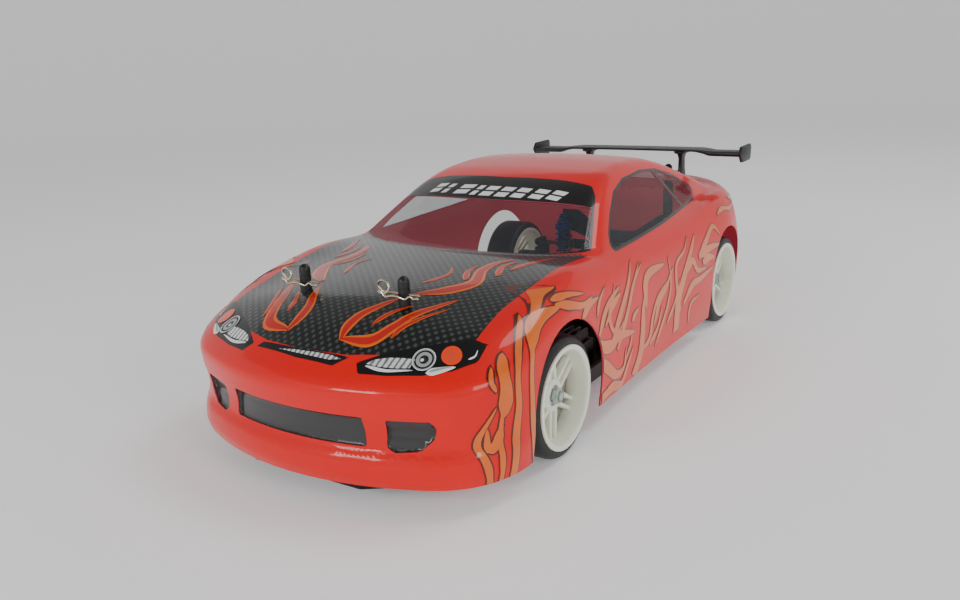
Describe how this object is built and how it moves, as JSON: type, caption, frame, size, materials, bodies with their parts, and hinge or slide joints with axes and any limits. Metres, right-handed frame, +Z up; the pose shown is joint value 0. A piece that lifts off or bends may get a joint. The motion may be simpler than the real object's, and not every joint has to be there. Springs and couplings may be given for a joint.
{
  "type": "rc drift car",
  "caption": "Small-scale electric four-wheel-drive drift car with sprung arms, steering, shaft drive and a clip-on sports coupe body with a rear wing.",
  "frame": {"origin": "on the ground, under the middle of the car's overall length and width", "axes": "+Z up, the nose points to -Y, the car's left side is +X"},
  "size_m": [0.1978, 0.4368, 0.1316],
  "materials": {
    "red_polycarbonate": "glossy painted clear shell",
    "smoked_polycarbonate": "clear, lightly smoked",
    "black_plastic": "satin moulded",
    "black_nylon": "matt moulded",
    "white_nylon": "satin moulded, slightly green white",
    "tyre": "hard slick drift compound",
    "steel": "plated",
    "spring_steel": "painted wire",
    "aluminium": "satin",
    "blue_aluminium": "anodised",
    "motor_steel": "plated can",
    "battery_sleeve": "shrink sleeve",
    "black_foam": "open-cell foam"
  },
  "bodies": {
    "chassis": {"battery_pack": "battery_sleeve", "body_clips": "steel", "body_posts": "black_nylon", "body_shell": "red_polycarbonate", "chassis_plate": "black_nylon", "damper_bodies": "blue_aluminium", "electronics": "black_plastic", "foam_bumper": "black_foam", "front_gearbox": "black_nylon", "motor": "motor_steel", "rear_gearbox": "black_nylon", "rear_wing": "black_plastic", "shock_towers": "black_nylon", "steering_servo": "black_plastic", "windows": "smoked_polycarbonate"},
    "rear_spool_unit": {"rear_spool": "steel"},
    "front_spool_unit": {"front_spool": "steel"},
    "centre_shaft_unit": {"centre_shaft": "aluminium"},
    "motor_pinion_unit": {"motor_pinion": "steel"},
    "horn": {"steering_horn": "black_nylon"},
    "front_left_arm": {"front_left_lower_arm": "black_nylon"},
    "front_left_hub": {"front_left_c_hub": "black_nylon"},
    "front_left_link": {"front_left_upper_link": "black_nylon"},
    "front_left_rod": {"front_left_damper_rod": "steel", "front_left_spring": "spring_steel"},
    "front_left_shaft": {"front_left_drive_shaft": "steel"},
    "front_left_wheel": {"front_left_tyre": "tyre", "front_left_rim": "white_nylon", "front_left_axle": "steel"},
    "front_left_upright": {"front_left_knuckle": "black_nylon"},
    "front_left_steering_rod": {"front_left_tie_rod": "black_nylon"},
    "front_right_arm": {"front_right_lower_arm": "black_nylon"},
    "front_right_hub": {"front_right_c_hub": "black_nylon"},
    "front_right_link": {"front_right_upper_link": "black_nylon"},
    "front_right_rod": {"front_right_damper_rod": "steel", "front_right_spring": "spring_steel"},
    "front_right_shaft": {"front_right_drive_shaft": "steel"},
    "front_right_wheel": {"front_right_tyre": "tyre", "front_right_rim": "white_nylon", "front_right_axle": "steel"},
    "front_right_upright": {"front_right_knuckle": "black_nylon"},
    "front_right_steering_rod": {"front_right_tie_rod": "black_nylon"},
    "rear_left_arm": {"rear_left_lower_arm": "black_nylon"},
    "rear_left_hub": {"rear_left_hub_carrier": "black_nylon"},
    "rear_left_link": {"rear_left_upper_link": "black_nylon"},
    "rear_left_rod": {"rear_left_damper_rod": "steel", "rear_left_spring": "spring_steel"},
    "rear_left_shaft": {"rear_left_drive_shaft": "steel"},
    "rear_left_wheel": {"rear_left_tyre": "tyre", "rear_left_rim": "white_nylon", "rear_left_axle": "steel"},
    "rear_right_arm": {"rear_right_lower_arm": "black_nylon"},
    "rear_right_hub": {"rear_right_hub_carrier": "black_nylon"},
    "rear_right_link": {"rear_right_upper_link": "black_nylon"},
    "rear_right_rod": {"rear_right_damper_rod": "steel", "rear_right_spring": "spring_steel"},
    "rear_right_shaft": {"rear_right_drive_shaft": "steel"},
    "rear_right_wheel": {"rear_right_tyre": "tyre", "rear_right_rim": "white_nylon", "rear_right_axle": "steel"}
  },
  "joints": [
    {"name": "rear_spool_spin", "type": "hinge", "parent": "chassis", "child": "rear_spool_unit", "pos_m": [0, 0.14195, 0.032], "axis": [1, 0, 0], "continuous": true},
    {"name": "front_spool_spin", "type": "hinge", "parent": "chassis", "child": "front_spool_unit", "pos_m": [0, -0.11805, 0.032], "axis": [1, 0, 0], "continuous": true},
    {"name": "centre_shaft_spin", "type": "hinge", "parent": "chassis", "child": "centre_shaft_unit", "pos_m": [0, 0.01195, 0.032], "axis": [0, 1, 0], "continuous": true},
    {"name": "motor_spin", "type": "hinge", "parent": "chassis", "child": "motor_pinion_unit", "pos_m": [0.02398, 0.08095, 0.027], "axis": [0, 1, 0], "continuous": true},
    {"name": "steering", "type": "hinge", "parent": "chassis", "child": "horn", "pos_m": [0, -0.09405, 0.056], "axis": [0, 1, 0], "range_deg": [-26, 26]},
    {"name": "front_left_suspension", "type": "hinge", "parent": "chassis", "child": "front_left_arm", "pos_m": [0.024, -0.11805, 0.014], "axis": [0, -1, 0], "range_deg": [-5, 6], "stiffness_Nm_per_rad": 3, "springref_deg": -2.58},
    {"name": "front_left_hub_pivot", "type": "hinge", "parent": "front_left_arm", "child": "front_left_hub", "pos_m": [0.0575, -0.11805, 0.014], "axis": [0, -1, 0], "range_deg": [-6, 5]},
    {"name": "front_left_link_pivot", "type": "hinge", "parent": "chassis", "child": "front_left_link", "pos_m": [0.028, -0.11805, 0.05], "axis": [0, -1, 0], "range_deg": [-5.78, 6.91]},
    {"name": "front_left_shaft_swing", "type": "hinge", "parent": "chassis", "child": "front_left_shaft", "pos_m": [0.01925, -0.11805, 0.032], "axis": [0, -1, 0], "range_deg": [-3.68, 4.4]},
    {"name": "front_left_damper_stroke", "type": "slide", "parent": "chassis", "child": "front_left_rod", "axis": [0, 0, 1], "range_m": [-0.0018, 0.0022], "deforming": ["front_left_spring"]},
    {"name": "front_left_kingpin", "type": "hinge", "parent": "front_left_hub", "child": "front_left_upright", "pos_m": [0.066, -0.11805, 0.032], "axis": [0, 0, 1], "range_deg": [-20, 20]},
    {"name": "front_left_steering_rod_slide", "type": "slide", "parent": "front_left_hub", "child": "front_left_steering_rod", "axis": [1, 0, 0], "range_m": [-0.0067, 0.0067]},
    {"name": "front_left_wheel_spin", "type": "hinge", "parent": "front_left_upright", "child": "front_left_wheel", "pos_m": [0.083, -0.11805, 0.032], "axis": [1, 0, 0], "continuous": true},
    {"name": "front_right_suspension", "type": "hinge", "parent": "chassis", "child": "front_right_arm", "pos_m": [-0.024, -0.11805, 0.014], "axis": [0, 1, 0], "range_deg": [-5, 6], "stiffness_Nm_per_rad": 3, "springref_deg": -2.58},
    {"name": "front_right_hub_pivot", "type": "hinge", "parent": "front_right_arm", "child": "front_right_hub", "pos_m": [-0.0575, -0.11805, 0.014], "axis": [0, 1, 0], "range_deg": [-6, 5]},
    {"name": "front_right_link_pivot", "type": "hinge", "parent": "chassis", "child": "front_right_link", "pos_m": [-0.028, -0.11805, 0.05], "axis": [0, 1, 0], "range_deg": [-5.78, 6.91]},
    {"name": "front_right_shaft_swing", "type": "hinge", "parent": "chassis", "child": "front_right_shaft", "pos_m": [-0.01925, -0.11805, 0.032], "axis": [0, 1, 0], "range_deg": [-3.68, 4.4]},
    {"name": "front_right_damper_stroke", "type": "slide", "parent": "chassis", "child": "front_right_rod", "axis": [0, 0, 1], "range_m": [-0.0018, 0.0022], "deforming": ["front_right_spring"]},
    {"name": "front_right_kingpin", "type": "hinge", "parent": "front_right_hub", "child": "front_right_upright", "pos_m": [-0.066, -0.11805, 0.032], "axis": [0, 0, 1], "range_deg": [-20, 20]},
    {"name": "front_right_steering_rod_slide", "type": "slide", "parent": "front_right_hub", "child": "front_right_steering_rod", "axis": [1, 0, 0], "range_m": [-0.0067, 0.0067]},
    {"name": "front_right_wheel_spin", "type": "hinge", "parent": "front_right_upright", "child": "front_right_wheel", "pos_m": [-0.083, -0.11805, 0.032], "axis": [1, 0, 0], "continuous": true},
    {"name": "rear_left_suspension", "type": "hinge", "parent": "chassis", "child": "rear_left_arm", "pos_m": [0.024, 0.14195, 0.014], "axis": [0, -1, 0], "range_deg": [-5, 6], "stiffness_Nm_per_rad": 3, "springref_deg": -2.58},
    {"name": "rear_left_hub_pivot", "type": "hinge", "parent": "rear_left_arm", "child": "rear_left_hub", "pos_m": [0.0575, 0.14195, 0.014], "axis": [0, -1, 0], "range_deg": [-6, 5]},
    {"name": "rear_left_link_pivot", "type": "hinge", "parent": "chassis", "child": "rear_left_link", "pos_m": [0.028, 0.14195, 0.05], "axis": [0, -1, 0], "range_deg": [-5.78, 6.91]},
    {"name": "rear_left_shaft_swing", "type": "hinge", "parent": "chassis", "child": "rear_left_shaft", "pos_m": [0.01925, 0.14195, 0.032], "axis": [0, -1, 0], "range_deg": [-3.68, 4.4]},
    {"name": "rear_left_damper_stroke", "type": "slide", "parent": "chassis", "child": "rear_left_rod", "axis": [0, 0, 1], "range_m": [-0.0018, 0.0022], "deforming": ["rear_left_spring"]},
    {"name": "rear_left_wheel_spin", "type": "hinge", "parent": "rear_left_hub", "child": "rear_left_wheel", "pos_m": [0.083, 0.14195, 0.032], "axis": [1, 0, 0], "continuous": true},
    {"name": "rear_right_suspension", "type": "hinge", "parent": "chassis", "child": "rear_right_arm", "pos_m": [-0.024, 0.14195, 0.014], "axis": [0, 1, 0], "range_deg": [-5, 6], "stiffness_Nm_per_rad": 3, "springref_deg": -2.58},
    {"name": "rear_right_hub_pivot", "type": "hinge", "parent": "rear_right_arm", "child": "rear_right_hub", "pos_m": [-0.0575, 0.14195, 0.014], "axis": [0, 1, 0], "range_deg": [-6, 5]},
    {"name": "rear_right_link_pivot", "type": "hinge", "parent": "chassis", "child": "rear_right_link", "pos_m": [-0.028, 0.14195, 0.05], "axis": [0, 1, 0], "range_deg": [-5.78, 6.91]},
    {"name": "rear_right_shaft_swing", "type": "hinge", "parent": "chassis", "child": "rear_right_shaft", "pos_m": [-0.01925, 0.14195, 0.032], "axis": [0, 1, 0], "range_deg": [-3.68, 4.4]},
    {"name": "rear_right_damper_stroke", "type": "slide", "parent": "chassis", "child": "rear_right_rod", "axis": [0, 0, 1], "range_m": [-0.0018, 0.0022], "deforming": ["rear_right_spring"]},
    {"name": "rear_right_wheel_spin", "type": "hinge", "parent": "rear_right_hub", "child": "rear_right_wheel", "pos_m": [-0.083, 0.14195, 0.032], "axis": [1, 0, 0], "continuous": true}
  ],
  "couplings": [
    {"joint": "front_spool_spin", "follows": "rear_spool_spin", "ratio": 1},
    {"joint": "centre_shaft_spin", "follows": "rear_spool_spin", "ratio": -2.5},
    {"joint": "motor_spin", "follows": "rear_spool_spin", "ratio": 6.2143},
    {"joint": "front_left_hub_pivot", "follows": "front_left_suspension", "ratio": -1},
    {"joint": "front_left_link_pivot", "follows": "front_left_suspension", "ratio": 1.1356},
    {"joint": "front_left_shaft_swing", "follows": "front_left_suspension", "ratio": 0.71658},
    {"joint": "front_left_damper_stroke", "follows": "front_left_suspension", "m_per_rad": 0.02},
    {"joint": "front_left_kingpin", "follows": "steering", "ratio": 0.76316},
    {"joint": "front_left_steering_rod_slide", "follows": "steering", "m_per_rad": -0.0145},
    {"joint": "front_left_wheel_spin", "follows": "rear_spool_spin", "ratio": 1},
    {"joint": "front_right_hub_pivot", "follows": "front_right_suspension", "ratio": -1},
    {"joint": "front_right_link_pivot", "follows": "front_right_suspension", "ratio": 1.1356},
    {"joint": "front_right_shaft_swing", "follows": "front_right_suspension", "ratio": 0.71658},
    {"joint": "front_right_damper_stroke", "follows": "front_right_suspension", "m_per_rad": 0.02},
    {"joint": "front_right_kingpin", "follows": "steering", "ratio": 0.76316},
    {"joint": "front_right_steering_rod_slide", "follows": "steering", "m_per_rad": -0.0145},
    {"joint": "front_right_wheel_spin", "follows": "rear_spool_spin", "ratio": 1},
    {"joint": "rear_left_hub_pivot", "follows": "rear_left_suspension", "ratio": -1},
    {"joint": "rear_left_link_pivot", "follows": "rear_left_suspension", "ratio": 1.1356},
    {"joint": "rear_left_shaft_swing", "follows": "rear_left_suspension", "ratio": 0.71658},
    {"joint": "rear_left_damper_stroke", "follows": "rear_left_suspension", "m_per_rad": 0.02},
    {"joint": "rear_left_wheel_spin", "follows": "rear_spool_spin", "ratio": 1},
    {"joint": "rear_right_hub_pivot", "follows": "rear_right_suspension", "ratio": -1},
    {"joint": "rear_right_link_pivot", "follows": "rear_right_suspension", "ratio": 1.1356},
    {"joint": "rear_right_shaft_swing", "follows": "rear_right_suspension", "ratio": 0.71658},
    {"joint": "rear_right_damper_stroke", "follows": "rear_right_suspension", "m_per_rad": 0.02},
    {"joint": "rear_right_wheel_spin", "follows": "rear_spool_spin", "ratio": 1}
  ]
}
